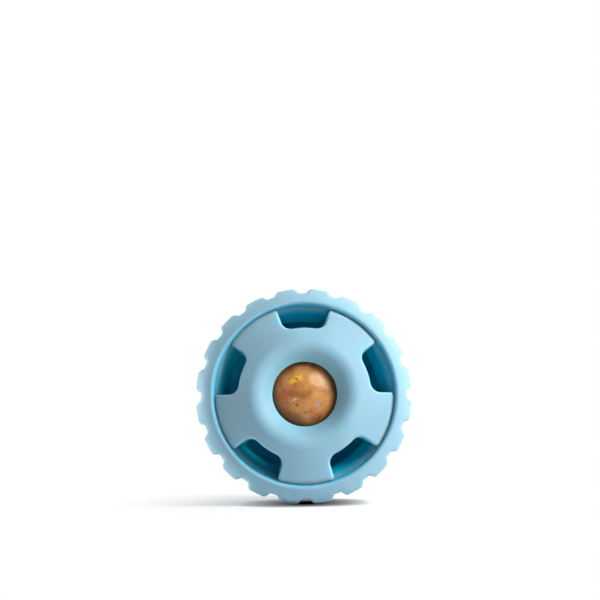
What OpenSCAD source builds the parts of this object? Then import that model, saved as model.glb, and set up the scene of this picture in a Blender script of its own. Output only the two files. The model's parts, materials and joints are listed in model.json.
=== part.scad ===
// Treat dispensing dog toy: a rubber tread wheel with a slotted screw cap
// that traps a frozen treat ball between a front and a rear lick hole.
// Millimetres. The toy stands on two lugs of its tread at Z = 0, with its axis
// along Y and its cap facing -Y.

/* [Tread] */
// Diameter over the lugs
tread_d = 88; // [84:1:104]
// Number of lugs round the tread
lug_count = 20; // [14:1:26]
// Width of a notch at the crown of the tread
notch_w = 5.8; // [3.5:0.1:8]
// Width of a notch at its floor
notch_floor_w = 3.3; // [1:0.1:3.4]
// Depth of a notch
notch_depth = 2.5; // [1.5:0.1:4]
// Rounding from the crown of the tread to the ring's faces
shoulder_r = 15; // [12:0.5:17]

/* [Screw mouth] */
// Bore of the ring that the cap screws into
bore_d = 70.3; // [67:0.1:72]
// Width of the bevel from the bore to the ring's front edge
mouth_bevel = 1.2; // [0.6:0.1:2]
// Depth of the groove between the ring's front edge and the cap
mouth_depth = 4.5; // [2:0.1:5.5]
// Clearance all round between the cap's hoop and the bore
bore_clear = 0.1; // [0.05:0.01:0.3]
// Length of the cap's threaded hoop
hoop_len = 11; // [8:0.5:13]
// Wall of the hoop at its foot
hoop_wall = 4; // [3:0.1:5]
// Wall of the hoop at its top edge, where the slots open over it
hoop_edge = 0.4; // [0.3:0.1:1.5]
// Gap between the hoop's foot and the ledge under it
seat_gap = 0.1; // [0.05:0.01:0.3]

/* [Cap face] */
// Slope of the cap's coned face
face_slope = 27; // [22:0.5:32]
// Rounding of the cap's rim
rim_r = 3; // [1:0.1:3.5]
// Diameter of the lip's crest
lip_d = 38.5; // [36:0.5:40]
// Rounding of the lip
lip_r = 5.6; // [4.5:0.1:6.5]
// Slope of the funnel inside the lip
funnel_slope = 34.5; // [28:0.5:40]
// Diameter of each lick hole
hole_d = 24.8; // [21:0.2:26]
// Straight wall of each lick hole
hole_land = 1.2; // [0.6:0.1:3]

/* [Slots] */
// Number of slots round the cap
slot_count = 5; // [3:1:6]
// Angle that one slot spans
slot_angle = 34.4; // [28:0.2:44]
// Radius of a slot's inner edge
slot_in_r = 26; // [25:0.1:27]
// Rounding of a slot's inner corners
slot_corner_r = 3.9; // [2:0.1:4.5]

/* [Rear] */
// How much the rear lip is cut flat, so that the toy can lie on it
rear_flat = 0.25; // [0.1:0.05:0.5]

/* [Treat] */
// Diameter of the treat ball
treat_d = 48; // [46:0.5:52]
// Clearance between the treat ball and the edges of the lick holes
treat_clear = 0.4; // [0.3:0.05:0.8]

/* [Hidden] */
$fn = 96;

rubber_colour = [0.55, 0.77, 0.87];
cap_colour = [0.60, 0.81, 0.90];
treat_colour = [0.76, 0.52, 0.29];

// Radii
tread_r = tread_d / 2;
root_r = tread_r - notch_depth;
bore_r = bore_d / 2;
mouth_r = bore_r + mouth_bevel;
cap_r = bore_r - bore_clear;
foot_r = cap_r - hoop_wall;
hole_r = hole_d / 2;
treat_r = treat_d / 2;

// Heights along the axis, from the middle of the tread towards the front
cage_r = treat_r + treat_clear;
edge_h = sqrt(cage_r * cage_r - hole_r * hole_r);
funnel_h = edge_h + hole_land;

// Centre of the lip's rounding, which the funnel and the face both touch
lip_c = lip_d / 2;
lip_h = funnel_h + (lip_c - lip_r * sin(funnel_slope) - hole_r) * tan(funnel_slope)
    - lip_r * cos(funnel_slope);
crest_h = lip_h + lip_r;

// Centre of the rim's rounding, which the face also touches
rim_c = cap_r - rim_r;
rim_h = lip_h + (lip_r - rim_r) * cos(face_slope)
    - (rim_c - lip_c + (rim_r - lip_r) * sin(face_slope)) * tan(face_slope);

// The hoop's foot, the ring's front edge and the centres of the shoulders
seat_h = rim_h - hoop_len;
mouth_h = rim_h + mouth_depth;
shoulder_c = tread_r - shoulder_r;
shoulder_h = mouth_h - sqrt(pow(shoulder_r, 2) - pow(mouth_r - shoulder_c, 2));

// The hollow is round in section: it runs through the hoop's foot and the holes' inner edges
hollow_c = (foot_r * foot_r + seat_h * seat_h - cage_r * cage_r) / (2 * (foot_r - hole_r));
hollow_r = norm([hole_r - hollow_c, edge_h]);

// Slope of the rear face, which touches the rear shoulder and the rear lip
rear_run = [shoulder_c - lip_c, lip_h - shoulder_h];
rear_slope = acos((shoulder_r - lip_r) / norm(rear_run)) - atan2(rear_run.x, rear_run.y);

// The toy stands on the inner corners of two lugs, at this distance below its axis
rest_h = sqrt(pow(tread_r, 2) - pow(notch_w / 2, 2));
notch_flare = (notch_w - notch_floor_w) / 2 / (rest_h - root_r);

// The slots' corner circles touch their sides
corner_c = slot_in_r + slot_corner_r;
corner_turn = asin(slot_corner_r / corner_c);

// Overshoot of the cutting shapes
over = 2;

// A point on a rounding where a surface of the given slope touches it
function touch(c, h, r, slope) = [c + r * sin(slope), h + r * cos(slope)];

// The same point on the rear side
function flip(p) = [p.x, -p.y];

lip_face = touch(lip_c, lip_h, lip_r, face_slope);
lip_funnel = touch(lip_c, lip_h, lip_r, -funnel_slope);
lip_rear = touch(lip_c, lip_h, lip_r, rear_slope);
rim_face = touch(rim_c, rim_h, rim_r, face_slope);
shoulder_rear = touch(shoulder_c, shoulder_h, shoulder_r, rear_slope);

// Stands a piece that is drawn round Z on its tread, facing -Y
module stand() {
    translate([0, rear_flat / 2, rest_h]) rotate([90, 0, 0]) children();
}

// Half section of the hollow that holds the treat
module hollow_section() {
    translate([hollow_c, 0]) circle(hollow_r);
    translate([0, -hollow_r]) square([hollow_c, 2 * hollow_r]);
}

// Half section of the ring and the bowl behind it
module tread_section() {
    difference() {
        union() {
            for (side = [-1, 1]) translate([shoulder_c, side * shoulder_h]) circle(shoulder_r);
            translate([0, -shoulder_h]) square([tread_r, 2 * shoulder_h]);
            translate([lip_c, -lip_h]) circle(lip_r);
            polygon([[0, -funnel_h], [hole_r, -funnel_h], flip(lip_funnel), flip(lip_rear),
                flip(shoulder_rear), [shoulder_c, 0], [0, 0]]);
        }
        hollow_section();
        translate([0, -crest_h - over]) square([hole_r, crest_h]);
        translate([0, -crest_h - over]) square([tread_r, over + rear_flat]);
        translate([0, seat_h - seat_gap]) square([bore_r, crest_h]);
        polygon([[0, rim_h], [bore_r, rim_h], [mouth_r + mouth_bevel, mouth_h + mouth_depth],
            [0, mouth_h + mouth_depth]]);
    }
}

// One straight notch across the tread, drawn along X
module notch() {
    floor_half = notch_floor_w / 2;
    top_half = floor_half + notch_flare * (notch_depth + over);
    linear_extrude(2 * crest_h, center = true)
        polygon([[root_r, -floor_half], [root_r, floor_half],
            [tread_r + over, top_half], [tread_r + over, -top_half]]);
}

// A wedge about X, from a radius outwards
module wedge(from_r, half_angle) {
    reach = 2 * cap_r;
    difference() {
        polygon([[0, 0], reach * [cos(half_angle), -sin(half_angle)],
            reach * [cos(half_angle), sin(half_angle)]]);
        circle(from_r);
    }
}

// Outline of a slot, seen along the axis, with round inner corners
module slot_outline() {
    inner_half = slot_angle / 2 - corner_turn;
    wedge(corner_c * cos(corner_turn), slot_angle / 2);
    wedge(slot_in_r, inner_half);
    for (side = [-1, 1]) rotate(side * inner_half) translate([corner_c, 0]) circle(slot_corner_r);
}

// The space that the slots open: over the hoop's top edge and down its coned inner wall
module slot_space() {
    lean = (cap_r - hoop_edge - foot_r) / hoop_len;
    rotate_extrude()
        polygon([[0, 0], [foot_r - lean * seat_h, 0], [cap_r - hoop_edge, rim_h],
            [cap_r + over, rim_h], [cap_r + over, crest_h], [0, crest_h]]);
}

// Half section of the cap: hoop, rim, coned face, lip and funnel
module cap_section() {
    difference() {
        union() {
            translate([lip_c, lip_h]) circle(lip_r);
            translate([rim_c, rim_h]) circle(rim_r);
            polygon([[0, seat_h], [cap_r, seat_h], [cap_r, rim_h], rim_face, lip_face, lip_funnel,
                [hole_r, funnel_h], [0, funnel_h]]);
        }
        hollow_section();
        square([hole_r, crest_h + over]);
    }
}

// Ring with its lugs, and the bowl behind it with the rear lick hole, in one moulding
module tread_body() {
    color(rubber_colour) stand() difference() {
        rotate_extrude() tread_section();
        for (i = [0 : lug_count - 1]) rotate(i * 360 / lug_count - 90) notch();
    }
}

// Cap that screws into the ring, with the front lick hole and the slots round it
module front_cap() {
    color(cap_colour) stand() difference() {
        rotate_extrude() cap_section();
        intersection() {
            slot_space();
            for (i = [0 : slot_count - 1])
                rotate(90 + i * 360 / slot_count) linear_extrude(crest_h) slot_outline();
        }
    }
}

// Frozen ball of treat mix, nested between the two lick holes
module treat_ball() {
    color(treat_colour) stand() sphere(treat_r);
}

tread_body();
front_cap();
treat_ball();
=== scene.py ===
import json
import math

import bpy
import numpy as np
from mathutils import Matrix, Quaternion, Vector


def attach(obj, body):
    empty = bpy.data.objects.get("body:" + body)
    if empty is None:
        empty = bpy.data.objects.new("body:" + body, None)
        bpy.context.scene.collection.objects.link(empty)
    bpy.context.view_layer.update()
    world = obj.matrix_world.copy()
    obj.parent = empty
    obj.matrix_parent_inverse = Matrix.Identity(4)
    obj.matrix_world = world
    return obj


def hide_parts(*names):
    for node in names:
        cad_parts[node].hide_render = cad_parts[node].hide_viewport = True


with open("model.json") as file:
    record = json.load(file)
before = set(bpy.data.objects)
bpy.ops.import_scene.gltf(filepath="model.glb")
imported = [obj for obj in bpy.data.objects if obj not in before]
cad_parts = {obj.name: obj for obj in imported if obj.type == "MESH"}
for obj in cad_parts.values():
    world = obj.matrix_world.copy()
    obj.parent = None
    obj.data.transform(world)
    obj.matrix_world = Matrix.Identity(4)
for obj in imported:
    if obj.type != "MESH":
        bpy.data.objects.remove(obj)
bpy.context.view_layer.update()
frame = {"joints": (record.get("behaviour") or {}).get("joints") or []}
mm = 0.001

# the toy's axis runs along Y through this point, and its front faces -Y
turnJoint = next(joint for joint in frame["joints"] if joint["name"] == "cap_turn")
axisPoint = np.array(turnJoint["pos_m"])
print("frame loaded, axis at", axisPoint)

# sizes shared by the tread body and the cap: radius counts from the axis, height forwards from mid tread
fit = {
    "treatRadius": 24.0 * mm,
    "treatGap": 0.4 * mm,         # between the treat and the edges of the lick holes
    "holeRadius": 12.4 * mm,      # lick holes
    "holeLand": 1.2 * mm,         # straight wall of each
    "holeEase": 0.3 * mm,         # the rubber stands back this far round the holes
    "funnelSlope": math.radians(34.5),
    "lipRadius": 19.25 * mm,      # crest of the rolled lip
    "lipRound": 5.6 * mm,
    "faceSlope": math.radians(27.0),
    "capRadius": 35.05 * mm,
    "rimRound": 3.0 * mm,
    "hoopLength": 11.0 * mm,
    "hoopFoot": 4.0 * mm,         # wall of the hoop at its foot
    "hoopEdge": 0.2 * mm,         # and at its top
    "boreGap": 0.1 * mm,
    "arcStop": 0.06,              # radians that the hollow's round wall stays off an edge that is rounded
    "threadLead": 7.0 * mm,       # the cap comes out this far in one turn
    "threadDepth": 1.0 * mm,
    "threadWidth": 2.6 * mm,
    "threadFlank": 0.35,          # share of the width that each flank takes
    "threadTurns": (0.36, 1.02),  # where the ring's ridge starts and ends, in turns above the hoop's foot
    "threadFade": 0.06,           # turns that it takes to rise at its ends
    "threadGap": 0.12 * mm,
    "threadSlack": 0.05,          # turns that the hoop's groove runs on past the ridge
    "threadStep": 0.36 * mm,      # spacing of the points along a threaded wall
}

cageRadius = fit["treatRadius"] + fit["treatGap"]
edgeHeight = math.sqrt(cageRadius ** 2 - fit["holeRadius"] ** 2)
funnelHeight = edgeHeight + fit["holeLand"]
funnelRun = fit["lipRadius"] - fit["lipRound"] * math.sin(fit["funnelSlope"]) - fit["holeRadius"]
lipHeight = (funnelHeight + funnelRun * math.tan(fit["funnelSlope"])
             - fit["lipRound"] * math.cos(fit["funnelSlope"]))
crestHeight = lipHeight + fit["lipRound"]
openRadius = fit["holeRadius"] + fit["holeEase"]
openFunnel = funnelHeight + fit["holeEase"] * math.tan(fit["funnelSlope"])


def slopeOnLip(radius, slope):
    # height of the straight surface of that slope that touches the lip's rounding from outside
    return lipHeight + fit["lipRound"] / math.cos(slope) - (radius - fit["lipRadius"]) * math.tan(slope)


def lipCorner(slope):
    # radius where that surface would meet the funnel's, which touches the lip from inside
    lift = 1 / math.cos(slope) - 1 / math.cos(fit["funnelSlope"])
    return fit["lipRadius"] + fit["lipRound"] * lift / (math.tan(slope) + math.tan(fit["funnelSlope"]))


def faceHeight(radius):
    # height of the cap's coned face
    return slopeOnLip(radius, fit["faceSlope"])


rimHeight = (faceHeight(fit["capRadius"])
             - fit["rimRound"] * math.tan((math.pi / 2 - fit["faceSlope"]) / 2))
seatHeight = rimHeight - fit["hoopLength"]
footRadius = fit["capRadius"] - fit["hoopFoot"]
boreRadius = fit["capRadius"] + fit["boreGap"]
hollowCentre = ((footRadius ** 2 + seatHeight ** 2 - cageRadius ** 2)
                / (2 * (footRadius - fit["holeRadius"])))
hollowRound = math.hypot(fit["holeRadius"] - hollowCentre, edgeHeight)


def splitRun(start, end, step):
    # the points between two ends of a straight run, ends left out
    count = max(1, math.ceil(np.linalg.norm(end - start) / step))
    share = np.linspace(0, 1, count + 1)[1:-1, None]
    return start + share * (end - start)


def filletPath(corners, step, sag=0.004 * mm):
    # an open path through corner points (radius, height, rounding): each corner is an arc that touches both
    # of its sides, drawn to within the sag, and straight runs are split into steps
    points = np.array([corner[:2] for corner in corners])
    run = np.diff(points, axis=0)
    way = run / np.linalg.norm(run, axis=1)[:, None]
    pieces = [points[:1]]
    for index in range(1, len(points) - 1):
        before, after, rounding = way[index - 1], way[index], corners[index][2]
        bend = math.atan2(before[0] * after[1] - before[1] * after[0], before @ after)
        side = math.copysign(1.0, bend)
        start = points[index] - before * rounding * math.tan(abs(bend) / 2)
        centre = start + side * rounding * np.array([-before[1], before[0]])
        turnStep = 2 * math.acos(1 - sag / rounding)
        sweep = np.linspace(0, bend, math.ceil(abs(bend) / turnStep) + 2)
        spoke = start - centre
        arc = np.stack([spoke[0] * np.cos(sweep) - spoke[1] * np.sin(sweep),
                        spoke[0] * np.sin(sweep) + spoke[1] * np.cos(sweep)], axis=1) + centre
        pieces += [splitRun(pieces[-1][-1], arc[0], step), arc]
    pieces += [splitRun(pieces[-1][-1], points[-1], step), points[-1:]]
    return np.concatenate(pieces)


def ray(angle):
    # unit vectors at those angles
    return np.stack([np.cos(angle), np.sin(angle)], axis=-1)


def hollowArc(fromAngle, toAngle, count):
    # part of the round section of the hollow
    return hollowRound * ray(np.linspace(fromAngle, toAngle, count)) + (hollowCentre, 0)


def hollowHeight(radius):
    # height of the hollow's front wall over a radius
    return np.sqrt(np.maximum(hollowRound ** 2 - (radius - hollowCentre) ** 2, 0))


openEdge = float(hollowHeight(openRadius))


def softLess(first, second, blend):
    # the smaller of two values, with the change from one to the other rounded over the blend
    near = np.maximum(blend - np.abs(first - second), 0) / blend
    return np.minimum(first, second) - near ** 2 * blend / 4


def ease(value, low, high):
    # rises smoothly from 0 at low to 1 at high
    share = np.clip((value - low) / (high - low), 0, 1)
    return share * share * (3 - 2 * share)


def threadBand(turn, height, width, fromTurn, toTurn):
    # 1 on a helix band of that width, 0 off it: the band climbs by the lead in a turn and fades at both ends
    climbed = (height - seatHeight) / fit["threadLead"]
    off = np.abs((climbed - turn + 0.5) % 1 - 0.5) * fit["threadLead"]
    across = 1 - ease(off, width / 2 - fit["threadFlank"] * width, width / 2)
    started = ease(climbed, fromTurn, fromTurn + fit["threadFade"])
    ended = ease(climbed, toTurn - fit["threadFade"], toTurn)
    return across * started * (1 - ended)


def onWall(path, wallRadius):
    # which points of a path lie on a straight wall of that radius
    return np.isclose(path[:, 0], wallRadius, atol=1e-7)


def refineWall(path, wallRadius, step):
    # adds points along a straight wall of that radius, where the thread needs them
    first, last = np.flatnonzero(onWall(path, wallRadius))[[0, -1]]
    count = math.ceil(abs(path[first, 1] - path[last, 1]) / step)
    height = np.linspace(path[first, 1], path[last, 1], count + 1)
    wall = np.stack([np.full_like(height, wallRadius), height], axis=1)
    return np.concatenate([path[:first], wall, path[last + 1:]])


def gridFaces(rows, columns, closedRows):
    # quads of a grid that closes round its columns, and round its rows too if asked
    row = np.arange(rows if closedRows else rows - 1)[:, None]
    column = np.arange(columns)[None, :]
    nextRow, nextColumn = (row + 1) % rows, (column + 1) % columns
    quads = np.stack([row * columns + column, row * columns + nextColumn,
                      nextRow * columns + nextColumn, nextRow * columns + column], axis=-1)
    return quads.reshape(-1, 4)


def facingOut(points, quads):
    # turns all faces round if the volume that they close comes out negative
    a, b, c, d = (points[quads[:, corner]] for corner in range(4))
    volume = (np.einsum("ij,ij->i", a, np.cross(b, c)) + np.einsum("ij,ij->i", a, np.cross(c, d))).sum()
    return quads if volume > 0 else quads[:, ::-1]


def placed(plan, height):
    # points given by their place across the axis and their height along it, put into the model's frame
    return np.stack([plan[..., 0], -height, plan[..., 1]], axis=-1) + axisPoint


def addPiece(name, points, faces, body, node, material, recessShade=None):
    # one mesh object, shaded smooth; the last argument tells how deep in the toy each point lies, which sets
    # the painted shade there: 0 is outside, 1 down in a slot and 2 in the hollow
    mesh = bpy.data.meshes.new(name)
    mesh.from_pydata(points.tolist(), [], faces)
    if recessShade is not None:
        mesh.attributes.new("recessShade", "FLOAT", "POINT").data.foreach_set("value", recessShade)
    mesh.polygons.foreach_set("use_smooth", np.ones(len(mesh.polygons), bool))
    mesh.materials.append(material)
    mesh.update()
    piece = bpy.data.objects.new(name, mesh)
    bpy.context.scene.collection.objects.link(piece)
    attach(piece, body)
    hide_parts(node)
    print("made", name, len(mesh.vertices), "points")


def makeMoulding(name, shells, body, node, material):
    # a piece from closed shells of points, quads and painted shade by recess, each turned to face outwards
    shift, points, quads, recessShade = 0, [], [], []
    for shellPoints, shellQuads, shellShade in shells:
        flat = shellPoints.reshape(-1, 3)
        points.append(flat)
        quads.append(facingOut(flat - flat.mean(axis=0), shellQuads) + shift)
        recessShade.append(np.broadcast_to(shellShade, shellPoints.shape[:2]).ravel())
        shift += len(flat)
    addPiece(name, np.concatenate(points), np.concatenate(quads).tolist(), body, node, material,
             np.concatenate(recessShade))


# shader helpers
def addNode(tree, kind, values=None, **settings):
    # a node with its settings, and with values on its inputs
    node = tree.nodes.new(kind)
    for key, value in settings.items():
        setattr(node, key, value)
    for key, value in (values or {}).items():
        node.inputs[key].default_value = value
    return node


def wire(tree, *pairs):
    # links each pair of an output and an input
    for output, socket in pairs:
        tree.links.new(output, socket)


def worked(tree, operation, *values):
    # a Math node on outputs of other nodes or plain numbers
    node = addNode(tree, "ShaderNodeMath", operation=operation)
    for socket, value in zip(node.inputs, values):
        if isinstance(value, float):
            socket.default_value = value
        else:
            tree.links.new(value, socket)
    return node.outputs["Value"]


def mixSockets(mix, kind):
    # the two inputs and the output of a Mix node for one type, since those for other types share their names
    first, second = (socket for socket in mix.inputs if socket.type == kind and socket.name in ("A", "B"))
    return first, second, next(socket for socket in mix.outputs if socket.type == kind)


def blended(tree, under, mask, tint):
    # a plain tint over a colour, as far as the mask says
    mix = addNode(tree, "ShaderNodeMix", data_type="RGBA")
    first, second, result = mixSockets(mix, "RGBA")
    second.default_value = (*tint, 1)
    wire(tree, (mask, mix.inputs["Factor"]), (under, first))
    return result


def awayFrom(tree, coordinates, centre, size, tilt=0.0):
    # distance from a centre, counted in the size along each axis, after a tilt about Y
    spot = addNode(tree, "ShaderNodeMapping", {"Location": centre, "Rotation": (0, -tilt, 0), "Scale": size},
                   vector_type="TEXTURE")
    away = addNode(tree, "ShaderNodeVectorMath", operation="LENGTH")
    wire(tree, (coordinates, spot.inputs["Vector"]), (spot.outputs["Vector"], away.inputs[0]))
    return away.outputs["Value"]


def easedMask(tree, value, low, high, strength):
    # rises smoothly from 0 at low to the strength at high
    mask = addNode(tree, "ShaderNodeMapRange", {"From Min": low, "From Max": high, "To Max": strength},
                   interpolation_type="SMOOTHSTEP")
    tree.links.new(value, mask.inputs["Value"])
    return mask.outputs["Result"]


def newGroup(name, inputs, outputs):
    # an empty node group with its sockets
    group = bpy.data.node_groups.new(name, "ShaderNodeTree")
    for label, kind, value in inputs:
        group.interface.new_socket(label, in_out="INPUT", socket_type=kind).default_value = value
    for label, kind in outputs:
        group.interface.new_socket(label, in_out="OUTPUT", socket_type=kind)
    return group, group.nodes.new("NodeGroupInput"), group.nodes.new("NodeGroupOutput")


mottleLook = {
    "detail": {"Tone": 3.0, "Grain": 2.0},  # octaves of the slow cloud and of the fine one
    "roughness": 0.55,
}


def makeMottleGroup(look):
    # two clouds that vary about 0.5: a slow one for tone and a fine one for grain
    names = look["detail"]
    group, inside, outside = newGroup(
        "mouldedMottle",
        [("Vector", "NodeSocketVector", (0, 0, 0)),
         *((f"{name} Scale", "NodeSocketFloat", 1.0) for name in names)],
        [(name, "NodeSocketFloat") for name in names])
    for name, detail in names.items():
        cloud = addNode(group, "ShaderNodeTexNoise", {"Detail": detail, "Roughness": look["roughness"]})
        wire(group, (inside.outputs["Vector"], cloud.inputs["Vector"]),
             (inside.outputs[f"{name} Scale"], cloud.inputs["Scale"]),
             (cloud.outputs["Fac"], outside.inputs[name]))
    return group


mottle = makeMottleGroup(mottleLook)


def startMaterial(name, look):
    # a surface with clouds laid over the piece's own coordinates: roughness follows their tone, and their
    # grain makes a fine bump
    material = bpy.data.materials.new(name)
    material.use_nodes = True
    tree = material.node_tree
    shader = tree.nodes["Principled BSDF"]
    shader.inputs["Specular IOR Level"].default_value = look["specular"]
    place = addNode(tree, "ShaderNodeTexCoord")
    cloud = addNode(tree, "ShaderNodeGroup",
                    {"Tone Scale": look["toneScale"], "Grain Scale": look["grainScale"]}, node_tree=mottle)
    gloss = addNode(tree, "ShaderNodeMapRange",
                    {"From Min": look["toneRange"][0], "From Max": look["toneRange"][1],
                     "To Min": look["roughness"][0], "To Max": look["roughness"][1]})
    bump = addNode(tree, "ShaderNodeBump",
                   {"Strength": look["grainStrength"], "Distance": look["grainHeight"]})
    wire(tree, (place.outputs["Object"], cloud.inputs["Vector"]),
         (cloud.outputs["Tone"], gloss.inputs["Value"]),
         (gloss.outputs["Result"], shader.inputs["Roughness"]),
         (cloud.outputs["Grain"], bump.inputs["Height"]),
         (bump.outputs["Normal"], shader.inputs["Normal"]))
    return material, tree, shader, place.outputs["Object"], cloud.outputs["Tone"]


def toneColours(tree, tone, stops):
    # a run of colours by tone, from stops of (position, colour) in rising order
    ramp = addNode(tree, "ShaderNodeValToRGB")
    elements = ramp.color_ramp.elements
    for index, (position, colour) in enumerate(stops):
        stop = elements[index] if index < len(elements) else elements.new(position)
        stop.position = position
        stop.color = (*colour, 1)
    tree.links.new(tone, ramp.inputs["Fac"])
    return ramp.outputs["Color"]


rubberLook = {
    "colour": (0.256, 0.432, 0.532),
    "paleColour": (0.281, 0.462, 0.562),
    "slotShadeColour": (0.002, 0.360, 0.560),    # painted shade: the deep blue of rubber in a slot, lit only by other rubber
    # painted shade in the hollow: red gone, green and blue kept high so that light through the rubber still
    # shows
    "hollowShadeColour": (0.002, 0.680, 0.800),
    "roughness": (0.46, 0.54),
    "specular": 0.04,
    "glow": 0.85,                           # share of the light that goes through the rubber
    "glowReach": (0.25, 5.0, 6.5),          # mm that red, green and blue light travel in it
    "toneScale": 70.0,
    "toneRange": (0.3, 0.7),                # the clouds' tones that colour and roughness are spread over
    "grainScale": 2600.0,
    "grainHeight": 0.04 * mm,
    "grainStrength": 0.12,
}
treadLook = {
    **rubberLook,
    "glow": 0.75,
    "glowReach": (0.25, 1.6, 2.0),
    "deepReach": (0.3, 11.0, 11.5),         # light travels further where only the far side is lit
    "deepFrom": (0.9, 1.1),                 # recess where this sets in
}


def makeRubber(name, look):
    # satin moulded rubber: tone and gloss drift slowly over the surface, a fine grain breaks the highlights,
    # and a painted shade deepens and blues the colour with the recess
    material, tree, shader, _, tone = startMaterial(name, look)
    colour = toneColours(tree, tone, zip(look["toneRange"], (look["colour"], look["paleColour"])))
    recessShade = addNode(tree, "ShaderNodeAttribute", attribute_name="recessShade").outputs["Fac"]
    # painted shade: the recess blends in the slots' shade colour, then the hollow's
    for start, shadeColour in enumerate((look["slotShadeColour"], look["hollowShadeColour"])):
        share = addNode(tree, "ShaderNodeMapRange", {"From Min": start, "From Max": start + 1})
        tree.links.new(recessShade, share.inputs["Value"])
        colour = blended(tree, colour, share.outputs["Result"], shadeColour)
    tree.links.new(colour, shader.inputs["Base Color"])

    shader.inputs["Subsurface Weight"].default_value = look["glow"]
    shader.inputs["Subsurface Scale"].default_value = mm
    shader.inputs["Subsurface Radius"].default_value = look["glowReach"]
    if "deepReach" in look:
        share = addNode(tree, "ShaderNodeMapRange",
                        {"From Min": look["deepFrom"][0], "From Max": look["deepFrom"][1]})
        reach = addNode(tree, "ShaderNodeMix", data_type="VECTOR")
        outside, deep, result = mixSockets(reach, "VECTOR")
        outside.default_value = look["glowReach"]
        deep.default_value = look["deepReach"]
        wire(tree, (recessShade, share.inputs["Value"]), (share.outputs["Result"], reach.inputs["Factor"]),
             (result, shader.inputs["Subsurface Radius"]))
    return material


treadRubber = makeRubber("treadRubber", treadLook)
capRubber = makeRubber("capRubber", rubberLook)
print("rubber ready")

# tread body: the lugged ring and the bowl behind it, in one moulding
tread = {
    "crownRadius": 44.0 * mm,
    "lugs": 20,
    "notchWidth": 5.8 * mm,
    "notchFloor": 3.3 * mm,
    "notchDepth": 2.5 * mm,
    "lugRounding": 2.2 * mm,
    "rootRounding": 0.8 * mm,
    "shoulderRound": 15.0 * mm,
    "mouthDepth": 2.8 * mm,             # from the ring's front edge down to the cap's rim
    "mouthBevel": 1.3 * mm,
    "rearDepth": 4.5 * mm,              # the rear shoulder lies further out, as for a mouth of this depth
    "rearBevel": 1.2 * mm,              # and bevel
    "mouthRounding": 1.0 * mm,
    "mouthTangent": math.radians(6.0),  # the shoulder's arc ends this far short of the mouth's edge
    "seatGap": 0.1 * mm,
    "rearFlat": 0.25 * mm,
    "edgeRounding": 0.4 * mm,
    "edgeDepth": 0.5 * mm,              # this far below the mouth's edge, the painted shade on the bevel has reached this share of the slots' shade colour depth below the hoop's seat where the painted shade is deepest
    "edgeShade": 0.7,                  # this share of the slots' colour
    "paintedShadeReach": 7.0 * mm,            # depth below the hoop's seat where the rubber looks deepest
    "pathStep": 3.0 * mm,               # spacing of the section's points on straight runs
    "hollowPoints": 18,
    "columnsPerLug": 26,
    "crowding": 0.62,                   # how much denser the columns are in a notch
}


def treadSection():
    # closed half section, from the rear hole's edge round the outside and back through the bore and hollow
    mouthRadius = boreRadius + tread["mouthBevel"]
    shoulderCentre = tread["crownRadius"] - tread["shoulderRound"]

    def shoulderAt(depth, bevel):
        # height of the shoulder's centre for a mouth of that depth and bevel
        across = boreRadius + bevel - shoulderCentre
        return rimHeight + depth - math.sqrt(tread["shoulderRound"] ** 2 - across ** 2)

    # the rear face touches the rear shoulder and the rear lip
    reach = shoulderCentre - fit["lipRadius"], lipHeight - shoulderAt(tread["rearDepth"], tread["rearBevel"])
    rearSlope = (math.acos((tread["shoulderRound"] - fit["lipRound"]) / math.hypot(*reach))
                 - math.atan2(*reach))
    rearCorner = lipCorner(rearSlope)
    # the front shoulder ends in a short straight run to the mouth's edge
    endAngle = math.asin((mouthRadius - shoulderCentre) / tread["shoulderRound"]) + tread["mouthTangent"]
    endRadius = shoulderCentre + tread["shoulderRound"] * math.sin(endAngle)
    endHeight = (shoulderAt(tread["mouthDepth"], tread["mouthBevel"])
                 + tread["shoulderRound"] * math.cos(endAngle))

    def frontLine(radius):
        # height of that run
        return endHeight - (radius - endRadius) * math.tan(endAngle)

    seat = seatHeight - tread["seatGap"]
    holeAngle = math.atan2(-openEdge, openRadius - hollowCentre)
    seatAngle = math.asin(seat / hollowRound)
    around = hollowArc(seatAngle - fit["arcStop"], holeAngle + fit["arcStop"], tread["hollowPoints"])
    ledgeRadius = hollowCentre + hollowRound * math.cos(seatAngle)
    path = filletPath([
        (*around[-1], 0),
        (openRadius, -openEdge, tread["edgeRounding"]),
        (openRadius, -openFunnel, tread["edgeRounding"]),
        (rearCorner, -slopeOnLip(rearCorner, rearSlope), fit["lipRound"]),
        (tread["crownRadius"], -slopeOnLip(tread["crownRadius"], rearSlope), tread["shoulderRound"]),
        (tread["crownRadius"], frontLine(tread["crownRadius"]), tread["shoulderRound"]),
        (mouthRadius, frontLine(mouthRadius), tread["mouthRounding"]),
        (boreRadius, rimHeight, tread["edgeRounding"]),
        (boreRadius, seat, tread["edgeRounding"]),
        (ledgeRadius, seat, tread["edgeRounding"]),
        (*around[0], 0),
    ], step=tread["pathStep"])
    path = np.concatenate([path[:-1], around[:-1]])
    path[:, 1] = np.maximum(path[:, 1], tread["rearFlat"] - crestHeight)
    return path


def notchRadius(turn):
    # how far out a ray from the axis stays in rubber: the floor of a notch, then its leaning side, past the
    # lug's top
    pitch = 2 * math.pi / tread["lugs"]
    off = np.abs((turn + math.pi / 2 + pitch / 2) % pitch - pitch / 2)
    floorRadius = tread["crownRadius"] - tread["notchDepth"]
    brinkRadius = math.sqrt(tread["crownRadius"] ** 2 - (tread["notchWidth"] / 2) ** 2)
    flare = (tread["notchWidth"] - tread["notchFloor"]) / 2 / (brinkRadius - floorRadius)
    side = (flare * floorRadius - tread["notchFloor"] / 2) / (flare * np.cos(off) - np.sin(off))
    return -softLess(-floorRadius / np.cos(off), -side, tread["rootRounding"])


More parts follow.
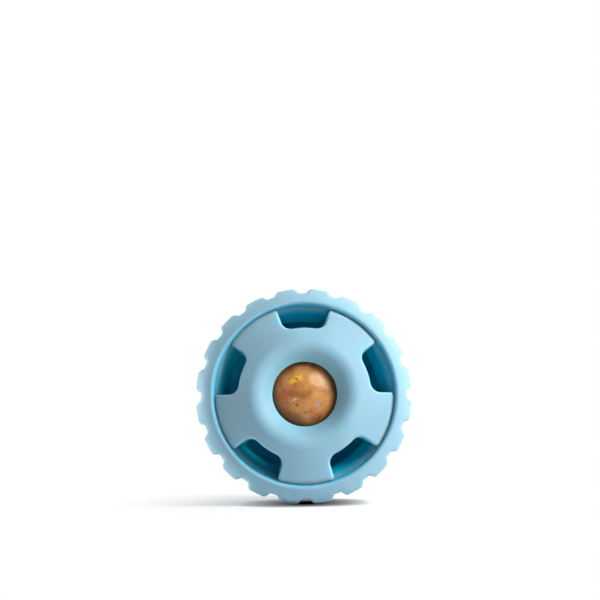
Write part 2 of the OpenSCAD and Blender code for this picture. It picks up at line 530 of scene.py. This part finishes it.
def treadShell():
    # the section is carried round the axis; each point is drawn in to the notch where there is one, and the
    # bore carries a helix ridge
    section = refineWall(treadSection(), boreRadius, fit["threadStep"])
    share = np.arange(tread["columnsPerLug"]) / tread["columnsPerLug"]
    crowded = share - tread["crowding"] * np.sin(2 * np.pi * share) / (2 * np.pi)
    turn = ((np.arange(tread["lugs"])[:, None] + crowded) / tread["lugs"]).ravel() * 2 * np.pi - np.pi / 2
    height = np.repeat(section[:, 1:], len(turn), axis=1)
    ridge = threadBand(turn / (2 * np.pi), height, fit["threadWidth"], *fit["threadTurns"])
    radius = (softLess(section[:, :1], notchRadius(turn), tread["lugRounding"])
              - onWall(section, boreRadius)[:, None] * ridge * fit["threadDepth"])
    # past the mouth's edge, the path runs inside the toy
    depth = section[:, 1].max() - section[:, 1]
    inside = np.arange(len(section)) >= depth.argmin()
    # painted shade: the bevel darkens below the mouth's edge, and the bore and hollow darken further below
    # the hoop's seat
    recessShade = inside * (tread["edgeShade"] * ease(depth, 0, tread["edgeDepth"])
                       + (1 - tread["edgeShade"]) * ease(depth, tread["edgeDepth"], tread["mouthDepth"])
                       + ease(seatHeight - section[:, 1], 0, tread["paintedShadeReach"]))
    points = placed(radius[..., None] * ray(turn), height)
    return points, gridFaces(*height.shape, closedRows=True), recessShade[:, None]


makeMoulding("tread_body_rubber", [treadShell()], "tread", "tread_body", treadRubber)

# front cap: a face with slots cut in from its rim, on a hoop that carries the thread
cap = {
    "slots": 5,
    "slotAngle": math.radians(34.8),
    "slotInner": 26.0 * mm,
    "slotCorner": 4.2 * mm,
    "slotDraft": math.radians(4.0),    # the slots' sides lean in towards the inside
    "slotEdge": 0.90 * mm,             # rounding of the slots' edges
    "floorSlope": math.radians(63.0),  # the slots' floors go down from the hoop's top into the hollow
    "spokeCorner": 0.95 * mm,          # rounding of the spokes' corners at the rim, seen from the front
    "edgeRounding": 0.4 * mm,
    "topRounding": 0.08 * mm,          # hoop's top edges
    "faceStart": 22.4 * mm,            # from here outwards the face is fitted to the slots' outline
    "fan": (2.5, 7.5, 9.0),            # degrees past a slot's side where the columns of its corner, its side
                                       # and the spoke's corner leave the ring round the lip
    "overlap": 1.0 * mm,               # how deep the face's underside sits in the hoop
    "footClear": 0.3 * mm,             # and how far it stays above the hoop's foot
    "rimTuck": 0.45 * mm,              # the wall under the rim goes back this far
    "tuckEnd": 0.4,                    # within this share of its height
    "flareHeight": 1.1 * mm,           # the rim ends in a small flare that seats in the ring's bevel
    "hoopRise": 0.5 * mm,              # and so does the hoop's top, where the slots show it
    "flareGap": 0.04 * mm,
    "paintedShadeStart": 0.6 * mm,           # depth in a slot where the painted shade begins and where it is deepest painted shade at the bottom of the funnel painted shade at the hoop's top edge painted shade on the rim's flare: a part that grows evenly and one that comes late
    "paintedShadeReach": 4.0 * mm,           # and where it looks deepest
    "funnelShade": 0.2,               # at the bottom of the funnel
    "hoopShade": 0.5,                 # at the hoop's top edge
    "rimShade": (0.3, 0.6),           # on the rim's flare: a part that grows evenly and one that comes late
    "outlinePoints": {"inner": 10, "corner": 18, "side": 9, "spoke": 10, "rim": 16},
    "faceRows": (9, 8),                # rows over the face, evenly up to a share of the way and then closer
    "faceSplit": 0.88,
    "edgeRows": 8,
    "wallRows": (0.06, 0.2, 0.4, 0.6, 0.8, 0.97, 1.0),          # shares of the way down the wall
    "underRows": (0.03, 0.15, 0.3, 0.45, 0.6, 0.75, 0.9, 1.0),  # and back along the underside
    "lipStep": 0.9 * mm,               # spacing of the points on straight runs, over the lip
    "hoopStep": 2.0 * mm,              # and round the hoop
    "hollowPoints": 9,
    "hoopPoints": 8,
    "hoopColumns": 480,
}


def joined(runs):
    # runs one after the other: each starts with the last point of the one before, which is left out there
    return np.concatenate([run[:-1] for run in runs[:-1]] + [runs[-1]])


def capOutline():
    # half of one slot and half of the spoke beside it, from the slot's middle: the points, which way they
    # face, how far they are on the rim, and where their columns leave the ring round the lip
    half = cap["slotAngle"] / 2
    spokeMiddle = math.pi / cap["slots"]
    cornerRing = cap["slotInner"] + cap["slotCorner"]
    innerHalf = half - math.asin(cap["slotCorner"] / cornerRing)
    spokeRing = fit["capRadius"] - cap["spokeCorner"]
    spokeTurn = half + math.asin(cap["spokeCorner"] / spokeRing)
    sideStart = math.sqrt(cornerRing ** 2 - cap["slotCorner"] ** 2)
    sideEnd = math.sqrt(spokeRing ** 2 - cap["spokeCorner"] ** 2)
    towardsSlot = half - math.pi / 2

    counts = cap["outlinePoints"]
    inner = np.linspace(0, innerHalf, counts["inner"])
    corner = np.linspace(innerHalf, towardsSlot, counts["corner"])
    side = np.linspace(sideStart, sideEnd, counts["side"])
    spoke = np.linspace(towardsSlot, spokeTurn, counts["spoke"])
    rim = np.linspace(spokeTurn, spokeMiddle, counts["rim"])
    points = [
        cap["slotInner"] * ray(inner),
        cornerRing * ray(innerHalf) - cap["slotCorner"] * ray(corner),
        side[:, None] * ray(half),
        spokeRing * ray(spokeTurn) + cap["spokeCorner"] * ray(spoke),
        fit["capRadius"] * ray(rim),
    ]
    facing = [inner, corner, np.full_like(side, towardsSlot), spoke, rim]
    # 0 on the slot's walls, 1 on the rim, and in between on the spoke's corner
    onRim = [np.zeros_like(inner), np.zeros_like(corner), np.zeros_like(side),
             ease(np.linspace(0, 1, len(spoke)), 0, 1), np.ones_like(rim)]
    # the spokes' columns reach the slots' sides from within
    stops = [0, innerHalf, *(half + math.radians(past) for past in cap["fan"]), spokeMiddle]
    inTurn = [np.linspace(start, end, len(run)) for start, end, run in zip(stops, stops[1:], facing)]
    return [joined(runs) for runs in (points, facing, onRim, inTurn)]


def wholeOutline():
    # the half outline, mirrored at the middle of the spoke and repeated for each slot
    points, facing, onRim, inTurn = capOutline()
    pitch = 2 * math.pi / cap["slots"]
    firstSlot = math.pi / 2

    def repeated(values):
        # values that a mirror leaves as they are
        return np.tile(np.concatenate([values, values[-2:0:-1]]), cap["slots"])

    def turned(angles):
        # angles, which a mirror turns round and each slot takes on by the pitch
        once = np.concatenate([angles, pitch - angles[-2:0:-1]])
        return (np.arange(cap["slots"])[:, None] * pitch + once).ravel() + firstSlot

    radius, turn = np.linalg.norm(points, axis=1), np.arctan2(points[:, 1], points[:, 0])
    return repeated(radius), turned(turn), turned(facing), repeated(onRim), turned(inTurn)


def slotFloor(radius):
    # height of the slots' floors over a radius
    return rimHeight - (fit["capRadius"] - fit["hoopEdge"] - radius) * math.tan(cap["floorSlope"])


def floorFoot(halvings=40):
    # radius where the slots' floors run into the hollow, found by halving
    low, high = hollowCentre, footRadius
    for _ in range(halvings):
        middle = (low + high) / 2
        low, high = (middle, high) if slotFloor(middle) < hollowHeight(middle) else (low, middle)
    return low


def bevelRadius(rise):
    # radius that just clears the ring's bevel, at a height above the bevel's foot
    return boreRadius + tread["mouthBevel"] * rise / tread["mouthDepth"] - cap["flareGap"]


def capTop(radius):
    # height of the cap's outside over a radius beyond the lip: the coned face, then the rim's rounding
    rimCentre = fit["capRadius"] - fit["rimRound"]
    across = np.clip((radius - rimCentre) / fit["rimRound"], 0, 1)
    rounding = rimHeight + fit["rimRound"] * np.sqrt(1 - across ** 2)
    return np.where(across > math.sin(fit["faceSlope"]), rounding, faceHeight(radius))


def undersideHeight(radius):
    # the hollow's wall, and further out a surface that stays inside the hoop
    insideHoop = np.minimum(slotFloor(radius), rimHeight) - cap["overlap"]
    return np.maximum(np.maximum(hollowHeight(radius), insideHoop), seatHeight + cap["footClear"])


def capFaceShell():
    # columns run from the lick hole over the lip and fan out over the face to the outline, round its edge,
    # down the wall and back along the underside
    radius, turn, facing, onRim, inTurn = wholeOutline()
    edge, outward, inward = radius[:, None] * ray(turn), ray(facing), ray(inTurn)
    plans, heights, recessShade = [], [], []

    def addRow(plan, height, depth=0):
        # one point for each column, with the painted shade that it takes
        plans.append(plan)
        heights.append(np.broadcast_to(height, radius.shape))
        recessShade.append(np.broadcast_to(depth, radius.shape))

    startAngle = math.acos((cap["faceStart"] - hollowCentre) / hollowRound)
    holeAngle = math.atan2(openEdge, openRadius - hollowCentre)
    under = hollowArc(startAngle, holeAngle - fit["arcStop"], cap["hollowPoints"])
    crest = lipCorner(fit["faceSlope"])
    middle = filletPath([
        (*under[-1], 0),
        (openRadius, openEdge, cap["edgeRounding"]),
        (openRadius, openFunnel, cap["edgeRounding"]),
        (crest, faceHeight(crest), fit["lipRound"]),
        (cap["faceStart"], faceHeight(cap["faceStart"]), 0),
    ], step=cap["lipStep"])
    # painted shade: the funnel darkens from the lip's crest towards the lick hole
    for ringRadius, height in middle:
        addRow(ringRadius * inward, height, cap["funnelShade"] * ease(-height, -crestHeight, -openFunnel))

    # face, up to where the slots' edges begin to round over
    faceEnd = edge - outward * cap["slotEdge"]
    evenRows, closeRows = cap["faceRows"]
    for share in np.concatenate([np.linspace(0, cap["faceSplit"], evenRows)[1:],
                                 np.linspace(cap["faceSplit"], 1, closeRows)[1:]]):
        plan = cap["faceStart"] * inward * (1 - share) + faceEnd * share
        addRow(plan, capTop(np.linalg.norm(plan, axis=1)))
    # the slots' edges are a quarter round that hangs from the face; the rim runs out along a curve of three
    # weighted points into its flare
    flareRadius = bevelRadius(cap["flareHeight"])
    rimRadius = fit["capRadius"] - cap["slotEdge"]
    rimTilt = math.asin((rimRadius - fit["capRadius"] + fit["rimRound"]) / fit["rimRound"])
    rimTop, flareTop = float(capTop(rimRadius)), rimHeight + cap["flareHeight"]
    bendRadius = rimRadius + (rimTop - flareTop) / math.tan(rimTilt)
    # painted shade on the rim's flare, deepest at its end in the groove against the ring
    evenShade, lateShade = cap["rimShade"]
    for share in np.linspace(0, 1, cap["edgeRows"])[1:]:
        sweep = share * math.pi / 2
        weights = (1 - share) ** 2, 2 * share * (1 - share), share ** 2
        curveRadius = np.dot(weights, (rimRadius, bendRadius, flareRadius))
        curveHeight = np.dot(weights, (rimTop, flareTop, flareTop))
        slotInset = cap["slotEdge"] * (1 - math.sin(sweep))
        plan = edge - outward * (slotInset + onRim * (fit["capRadius"] - curveRadius - slotInset))[:, None]
        slotHeight = capTop(np.linalg.norm(plan, axis=1)) - cap["slotEdge"] * (1 - math.cos(sweep))
        addRow(plan, slotHeight + onRim * (curveHeight - slotHeight),
               onRim * (evenShade * share + lateShade * share ** 4))

    # wall: the slots' sides lean in, and on the rim it tucks under the hoop's top
    top = heights[-1]
    lean = math.tan(cap["slotDraft"]) * np.sin(facing - turn) ** 2 * (1 - onRim)
    draft = lean * (top - undersideHeight(radius))
    for share in cap["wallRows"]:
        shift = draft * share - cap["rimTuck"] * onRim * min(1, share / cap["tuckEnd"])
        plan = edge + outward * shift[:, None]
        depth = (top - undersideHeight(np.linalg.norm(plan, axis=1))) * share
        # painted shade: darker the deeper down the wall
        addRow(plan, top - depth, ease(depth, cap["paintedShadeStart"], cap["paintedShadeReach"]))

    # underside, fanned in like the face, then along the hollow, in the painted shade of a slot's floor and
    # then of the hollow
    wallFoot = plans[-1]
    for share in cap["underRows"]:
        plan = wallFoot * (1 - share) + cap["faceStart"] * inward * share
        addRow(plan, undersideHeight(np.linalg.norm(plan, axis=1)), 1 + share)
    for ringRadius, height in under[1:-1]:
        addRow(ringRadius * inward, height, 2)
    points = placed(np.stack(plans), np.stack(heights))
    return points, gridFaces(*points.shape[:2], closedRows=True), np.stack(recessShade)


def capHoopShell():
    # the hoop's section carried round the axis, with a helix groove for the ring's ridge
    topRadius = fit["capRadius"] - fit["hoopEdge"] + cap["hoopRise"] / math.tan(cap["floorSlope"])
    inner = floorFoot()
    wallTop = math.acos((inner - hollowCentre) / hollowRound)
    wallFoot = math.asin(seatHeight / hollowRound)
    wall = hollowArc(wallTop - fit["arcStop"] / 2, wallFoot, cap["hoopPoints"])
    section = filletPath([
        (footRadius, seatHeight, 0),
        (fit["capRadius"], seatHeight, cap["edgeRounding"]),
        (fit["capRadius"], rimHeight, cap["edgeRounding"]),
        (bevelRadius(cap["hoopRise"]), rimHeight + cap["hoopRise"], cap["topRounding"]),
        (topRadius, rimHeight + cap["hoopRise"], cap["topRounding"]),
        (inner, slotFloor(inner), cap["edgeRounding"]),
        (*wall[0], 0),
    ], step=cap["hoopStep"])
    section = refineWall(np.concatenate([section, wall[1:-1]]), fit["capRadius"], fit["threadStep"])
    turn = np.linspace(0, 2 * np.pi, cap["hoopColumns"], endpoint=False)
    height = np.repeat(section[:, 1:], len(turn), axis=1)
    # the groove comes up from a turn below the hoop's foot
    grooveTurns = -1.0, fit["threadTurns"][1] + fit["threadSlack"]
    groove = threadBand(turn / (2 * np.pi), height, fit["threadWidth"] + 2 * fit["threadGap"], *grooveTurns)
    grooveDepth = fit["threadDepth"] + fit["threadGap"]
    radius = section[:, :1] - onWall(section, fit["capRadius"])[:, None] * groove * grooveDepth
    # past its top edge, the path runs inside the toy
    depth = rimHeight - section[:, 1]
    inside = np.arange(len(section)) >= depth.argmin()
    # painted shade: the hoop's top edge starts part dark, darkening down the slot and again towards the
    # hollow
    recessShade = inside * (cap["hoopShade"] + (1 - cap["hoopShade"]) * ease(depth, 0, cap["paintedShadeReach"])
                       + ease(depth, cap["paintedShadeReach"], fit["hoopLength"]))
    points = placed(radius[..., None] * ray(turn), height)
    return points, gridFaces(*height.shape, closedRows=True), recessShade[:, None]


makeMoulding("front_cap_rubber", [capFaceShell(), capHoopShell()], "cap", "front_cap",
             capRubber)

# treat: a frozen ball of mixed food, with small lumps
treat = {
    "radius": 23.9 * mm,  # with a lump on it, the ball has the size that its cage is made for
    "lump": 0.10 * mm,
    "lumps": 36,
    "lumpSpread": 0.16,   # how wide a lump is, in radians
    "seed": 7,
    "rings": 110,
    "columns": 220,
}


def treatShell():
    # a globe with its poles on the X axis, out of sight: each lump adds a smooth round rise or dip
    polar = (np.arange(treat["rings"])[:, None] + 0.5) / treat["rings"] * np.pi
    turn = np.arange(treat["columns"]) / treat["columns"] * 2 * np.pi
    way = np.stack([np.cos(polar) * np.ones_like(turn), np.sin(polar) * np.cos(turn),
                    np.sin(polar) * np.sin(turn)], axis=-1)
    draw = np.random.default_rng(treat["seed"])
    spots = draw.normal(size=(treat["lumps"], 3))
    spots /= np.linalg.norm(spots, axis=1)[:, None]
    size = draw.uniform(-1, 1, treat["lumps"]) * treat["lump"]
    rise = (np.exp((way @ spots.T - 1) / treat["lumpSpread"] ** 2) * size).sum(axis=-1)
    return way * (treat["radius"] + np.clip(rise, -treat["lump"], treat["lump"]))[..., None] + axisPoint


treatLook = {
    "dark": (0.280, 0.100, 0.022),
    "tan": (0.430, 0.178, 0.046),
    "pale": (0.530, 0.250, 0.074),
    "toneStops": (0.34, 0.5, 0.72),            # the clouds' tones that show these three
    "toneRange": (0.3, 0.7),                   # and those that the roughness is spread over
    "toneScale": 170.0,
    "grainScale": 900.0,
    "grainHeight": 0.2 * mm,
    "grainStrength": 0.35,
    "roughness": (0.36, 0.5),
    "specular": 0.35,
    "ballEdgeShade": (0.060, 0.020, 0.004),             # painted shade where the rubber's edge overhangs the ball
    "ballEdgeShadeFrom": (8.0 * mm, 13.5 * mm, 0.75),   # radius where it starts and ends, strength
    "speck": (0.050, 0.016, 0.008),
    # cells in a metre, size, share of the cells
    "specks": ((1900.0, 0.30, 0.32), (900.0, 0.26, 0.45), (330.0, 0.22, 0.32)),
    "speckStrength": 0.85,
    "speckCore": 0.5,                          # share of a speck's size that is fully dark
    "ragged": 0.9 * mm,                        # how far specks and flecks are drawn out of shape
    "raggedScale": 700.0,
    "raggedDetail": 2.0,
    "fleckCore": 0.35,                         # share of a fleck's size that has its full strength
    # right, up, half length, half width in mm, tilt in degrees, strength, colour
    "flecks": {
        # painted highlight: a pale patch at the upper right where the lamps' highlight falls
        "paintedHighlight": (4.6, 5.4, 5.0, 3.4, -40, 0.55, (0.720, 0.440, 0.210)),
        "skin": (-9.6, -3.6, 8.5, 4.0, -58, 0.45, (0.330, 0.075, 0.026)),
        "corn": (-3.6, 5.6, 4.0, 1.5, 27, 0.85, (0.720, 0.420, 0.014)),
        "pepper": (-7.8, 0.2, 4.0, 2.1, 70, 0.62, (0.470, 0.090, 0.046)),
        "rice": (-4.2, -2.3, 1.7, 0.6, 30, 0.70, (0.760, 0.440, 0.200)),
        "seed": (5.2, -4.0, 2.2, 0.8, 80, 0.80, (0.230, 0.240, 0.260)),
        "carrot": (4.2, -5.8, 1.0, 0.8, 0, 0.80, (0.560, 0.070, 0.030)),
        # a darker patch at the lower left of the ball
        "darkLowerLeft": (-5.0, -9.4, 7.5, 3.8, -30, 0.75, (0.170, 0.048, 0.012)),
    },
}


def makeTreat(name, look):
    # tan food mix: clouds of brown and tan with flecks, dark specks, a painted highlight and painted rim
    # shade, slightly wet
    material, tree, shader, place, tone = startMaterial(name, look)
    colour = toneColours(tree, tone, zip(look["toneStops"], (look["dark"], look["tan"], look["pale"])))

    # coordinates drawn a little out of shape, so that nothing on the food is quite round
    waves = addNode(tree, "ShaderNodeTexNoise",
                    {"Scale": look["raggedScale"], "Detail": look["raggedDetail"]})
    shift = addNode(tree, "ShaderNodeVectorMath", {1: (0.5, 0.5, 0.5)}, operation="SUBTRACT")
    drawn = addNode(tree, "ShaderNodeVectorMath", {1: (look["ragged"],) * 3}, operation="MULTIPLY_ADD")
    wire(tree, (place, waves.inputs["Vector"]), (waves.outputs["Color"], shift.inputs[0]),
         (shift.outputs["Vector"], drawn.inputs[0]), (place, drawn.inputs[2]))
    ragged = drawn.outputs["Vector"]

    for right, up, length, width, tilt, strength, tint in look["flecks"].values():
        forward = math.sqrt((treat["radius"] / mm) ** 2 - right ** 2 - up ** 2)
        away = awayFrom(tree, ragged, axisPoint + np.array([right, -forward, up]) * mm,
                        np.array([length, 2 * length, width]) * mm, math.radians(tilt))
        colour = blended(tree, colour, easedMask(tree, away, 1.0, look["fleckCore"], strength), tint)
    # a speck stands in the middle of a cell, and only in a share of the cells
    for scale, size, cover in look["specks"]:
        cells = addNode(tree, "ShaderNodeTexVoronoi", {"Scale": scale, "Randomness": 1.0})
        picked = addNode(tree, "ShaderNodeSeparateColor")
        wire(tree, (ragged, cells.inputs["Vector"]), (cells.outputs["Color"], picked.inputs["Color"]))
        near = easedMask(tree, cells.outputs["Distance"], size, size * look["speckCore"],
                         look["speckStrength"])
        chosen = worked(tree, "GREATER_THAN", picked.outputs["Red"], 1 - cover)
        colour = blended(tree, colour, worked(tree, "MULTIPLY", near, chosen), look["speck"])
    # painted shade: a dark ring about the axis under the rubber's edge, the way along the axis counted so
    # little that it has no effect
    away = awayFrom(tree, ragged, axisPoint, (1, 1000, 1))
    colour = blended(tree, colour, easedMask(tree, away, *look["ballEdgeShadeFrom"]), look["ballEdgeShade"])
    tree.links.new(colour, shader.inputs["Base Color"])
    return material


def makeTreatPiece():
    # the globe's rings as quads, with each pole closed by a ring of triangles
    grid = treatShell()
    rings, columns = grid.shape[:2]
    points = np.concatenate([grid.reshape(-1, 3), [grid[0].mean(axis=0), grid[-1].mean(axis=0)]])
    firstPole, lastPole, lastRing = rings * columns, rings * columns + 1, (rings - 1) * columns
    column = np.arange(columns)
    following = (column + 1) % columns
    triangles = np.concatenate([
        np.stack([following, column, np.full(columns, firstPole)], axis=1),
        np.stack([lastRing + column, lastRing + following, np.full(columns, lastPole)], axis=1),
    ])
    quads = gridFaces(rings, columns, closedRows=False)
    turnedOut = facingOut(points - axisPoint, quads)
    if not np.array_equal(turnedOut, quads):
        triangles = triangles[:, ::-1]
    addPiece("treat_ball_mix", points, turnedOut.tolist() + triangles.tolist(), "treat", "treat_ball",
             makeTreat("treatMix", treatLook))


makeTreatPiece()

# floor, light and camera
stage = {
    "floorHalf": 12.0,
    "floorColour": 0.85,
    "shadowReach": (95.0 * mm, 130.0 * mm),  # the floor's shadows fade out this far from the toy's foot
    "shadowFull": 0.05,                      # and are full within this share of it
    "contactReach": 8.0 * mm,                # painted contact shadow: the floor darkens under what hangs this close above it
    "contactPower": 2.2,
    "contactSamples": 32,
    "worldStrength": 0.02,
    # turn to the right of the camera and height in degrees, strength, softness in degrees
    "lamps": {
        "key": (60.0, 30.0, 2.65, 10.0),
        "soft": (61.0, 36.0, 2.65, 45.0),
        "rim": (-113.0, 5.0, 4.40, 20.0),
        "back": (118.0, 50.0, 0.80, 40.0),
    },
}


def lookingRay(tree):
    # 1 for rays that show the surroundings, to the camera or in a reflection, 0 for those that light the toy
    path = addNode(tree, "ShaderNodeLightPath")
    total = path.outputs["Is Camera Ray"]
    for kind in ("Is Glossy Ray", "Is Transmission Ray"):
        total = worked(tree, "MAXIMUM", total, path.outputs[kind])
    return total


def makeFloor():
    # seen, the floor is white where nothing shades it: its shade counts fully at the toy's foot and falls
    # off with the square of the way left to the reach, and an even white makes up the rest
    reach = stage["floorHalf"]
    mesh = bpy.data.meshes.new("floor")
    mesh.from_pydata([(-reach, -reach, 0), (reach, -reach, 0), (reach, reach, 0), (-reach, reach, 0)], [],
                     [(0, 1, 2, 3)])
    material = bpy.data.materials.new("paleFloor")
    material.use_nodes = True
    tree = material.node_tree
    tree.nodes.clear()
    looking = lookingRay(tree)
    place = addNode(tree, "ShaderNodeTexCoord")
    away = awayFrom(tree, place.outputs["Object"], (0, 0, 0), (*stage["shadowReach"], 1))
    left = addNode(tree, "ShaderNodeMapRange",
                   {"From Min": stage["shadowFull"], "To Min": 1.0, "To Max": 0.0})
    share = worked(tree, "MULTIPLY", left.outputs["Result"], left.outputs["Result"])
    # painted contact shadow: ambient occlusion darkens the floor under the toy's foot
    openSky = addNode(tree, "ShaderNodeAmbientOcclusion", {"Distance": stage["contactReach"]},
                      samples=stage["contactSamples"])
    contact = worked(tree, "POWER", openSky.outputs["AO"], stage["contactPower"])
    # unshaded, the floor shows white when its colour makes up for the lamps' strength
    onFloor = sum(power * math.sin(math.radians(height)) for _, height, power, _ in stage["lamps"].values())
    faded = worked(tree, "MULTIPLY", worked(tree, "MULTIPLY", share, contact), math.pi / onFloor)
    shade = addNode(tree, "ShaderNodeMapRange", {"To Min": stage["floorColour"]})
    shown = worked(tree, "MULTIPLY", worked(tree, "SUBTRACT", 1.0, share), looking)
    matte = addNode(tree, "ShaderNodeBsdfDiffuse")
    even = addNode(tree, "ShaderNodeEmission")
    both = addNode(tree, "ShaderNodeAddShader")
    out = addNode(tree, "ShaderNodeOutputMaterial")
    wire(tree, (away, left.inputs["Value"]), (looking, shade.inputs["Value"]),
         (faded, shade.inputs["To Max"]), (shade.outputs["Result"], matte.inputs["Color"]),
         (shown, even.inputs["Strength"]),
         (matte.outputs["BSDF"], both.inputs[0]), (even.outputs["Emission"], both.inputs[1]),
         (both.outputs["Shader"], out.inputs["Surface"]))
    mesh.materials.append(material)
    floor = bpy.data.objects.new("floor", mesh)
    bpy.context.scene.collection.objects.link(floor)


def makeLight():
    # a world that looks white and hardly lights the toy, and sun lamps that do
    world = bpy.data.worlds.new("whiteRoom")
    bpy.context.scene.world = world
    world.use_nodes = True
    tree = world.node_tree
    background = tree.nodes["Background"]
    background.inputs["Color"].default_value = (1, 1, 1, 1)
    strength = addNode(tree, "ShaderNodeMapRange", {"To Min": stage["worldStrength"], "To Max": 1.0})
    wire(tree, (lookingRay(tree), strength.inputs["Value"]),
         (strength.outputs["Result"], background.inputs["Strength"]))
    for name, (turn, height, power, softness) in stage["lamps"].items():
        lamp = bpy.data.lights.new(name, "SUN")
        lamp.energy = power
        lamp.angle = math.radians(softness)
        turn, height = math.radians(turn), math.radians(height)
        level = math.cos(height)
        way = Vector((math.sin(turn) * level, -math.cos(turn) * level, math.sin(height)))
        holder = bpy.data.objects.new(name, lamp)
        holder.rotation_euler = way.to_track_quat("Z", "Y").to_euler()
        bpy.context.scene.collection.objects.link(holder)


camera = {
    "distance": 340.0 * mm,         # to the middle of the tread
    "height": 26.0 * mm,            # above the floor
    "left": 8.0 * mm,               # of the toy's axis
    "imagePixels": 600,
    "treadPixels": (303.5, 397.0),  # where the tread's centre stands in the picture
    "pixelsPerMetre": 2398.0,       # scale at the middle of the tread
    "roll": math.radians(1.0),      # clockwise
    "sensor": 36.0,
    "clip": (0.01, 20.0),
}


def makeCamera():
    # looks at the middle of the tread; the shift then puts it where it stands in the picture
    lens = bpy.data.cameras.new("camera")
    view = bpy.data.objects.new("camera", lens)
    bpy.context.scene.collection.objects.link(view)
    view.location = (-camera["left"], axisPoint[1] - camera["distance"], camera["height"])
    way = Vector(axisPoint) - view.location
    level = way.to_track_quat("-Z", "Y")
    view.rotation_euler = (level @ Quaternion((0, 0, 1), -camera["roll"])).to_euler()
    lens.sensor_width = camera["sensor"]
    lens.lens = camera["pixelsPerMetre"] * way.length / camera["imagePixels"] * camera["sensor"]
    lens.shift_x = 0.5 - camera["treadPixels"][0] / camera["imagePixels"]
    lens.shift_y = camera["treadPixels"][1] / camera["imagePixels"] - 0.5
    lens.clip_start, lens.clip_end = camera["clip"]
    bpy.context.scene.camera = view
    bpy.context.scene.view_settings.view_transform = "Standard"


makeFloor()
makeLight()
makeCamera()
print("stage ready")
